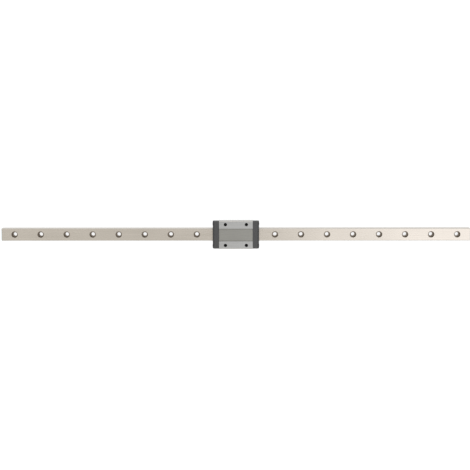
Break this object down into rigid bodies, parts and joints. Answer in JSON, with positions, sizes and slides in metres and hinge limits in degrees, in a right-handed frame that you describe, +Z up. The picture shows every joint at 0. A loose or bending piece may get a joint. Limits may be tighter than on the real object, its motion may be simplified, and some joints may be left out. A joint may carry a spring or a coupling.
{
  "type": "miniature linear guide rail",
  "caption": "Slim ground steel linear guide rail with counterbored bolt holes and a recirculating-ball carriage with tapped holes, end caps and wipers.",
  "frame": {"origin": "middle of the rail's underside", "axes": "+X along the rail, +Y across it, +Z up from the underside to the carriage's top"},
  "size_m": [0.45, 0.027, 0.013],
  "materials": {
    "rail_steel": "ground, with fine streaks along the rail",
    "block_steel": "satin ground pads, duller recess",
    "cap_plastic": "moulded, fine grain",
    "seal_rubber": "smooth black",
    "screw_steel": "dark plain steel",
    "wire_steel": "drawn wire",
    "ball_steel": "polished bearing balls"
  },
  "bodies": {
    "rail": {"guide_rail": "rail_steel"},
    "carriage": {"carriage_block": "block_steel", "end_cap_left": "cap_plastic", "end_cap_right": "cap_plastic", "end_seal_left": "seal_rubber", "end_seal_right": "seal_rubber", "cap_screw_left_front": "screw_steel", "cap_screw_left_back": "screw_steel", "cap_screw_right_front": "screw_steel", "cap_screw_right_back": "screw_steel", "retaining_wire_front": "wire_steel", "retaining_wire_back": "wire_steel", "ball_circuit_front": "ball_steel", "ball_circuit_back": "ball_steel"}
  },
  "joints": [
    {"name": "carriage_slide", "type": "slide", "parent": "rail", "child": "carriage", "axis": [1, 0, 0], "range_m": [-0.2026, 0.2026]}
  ]
}
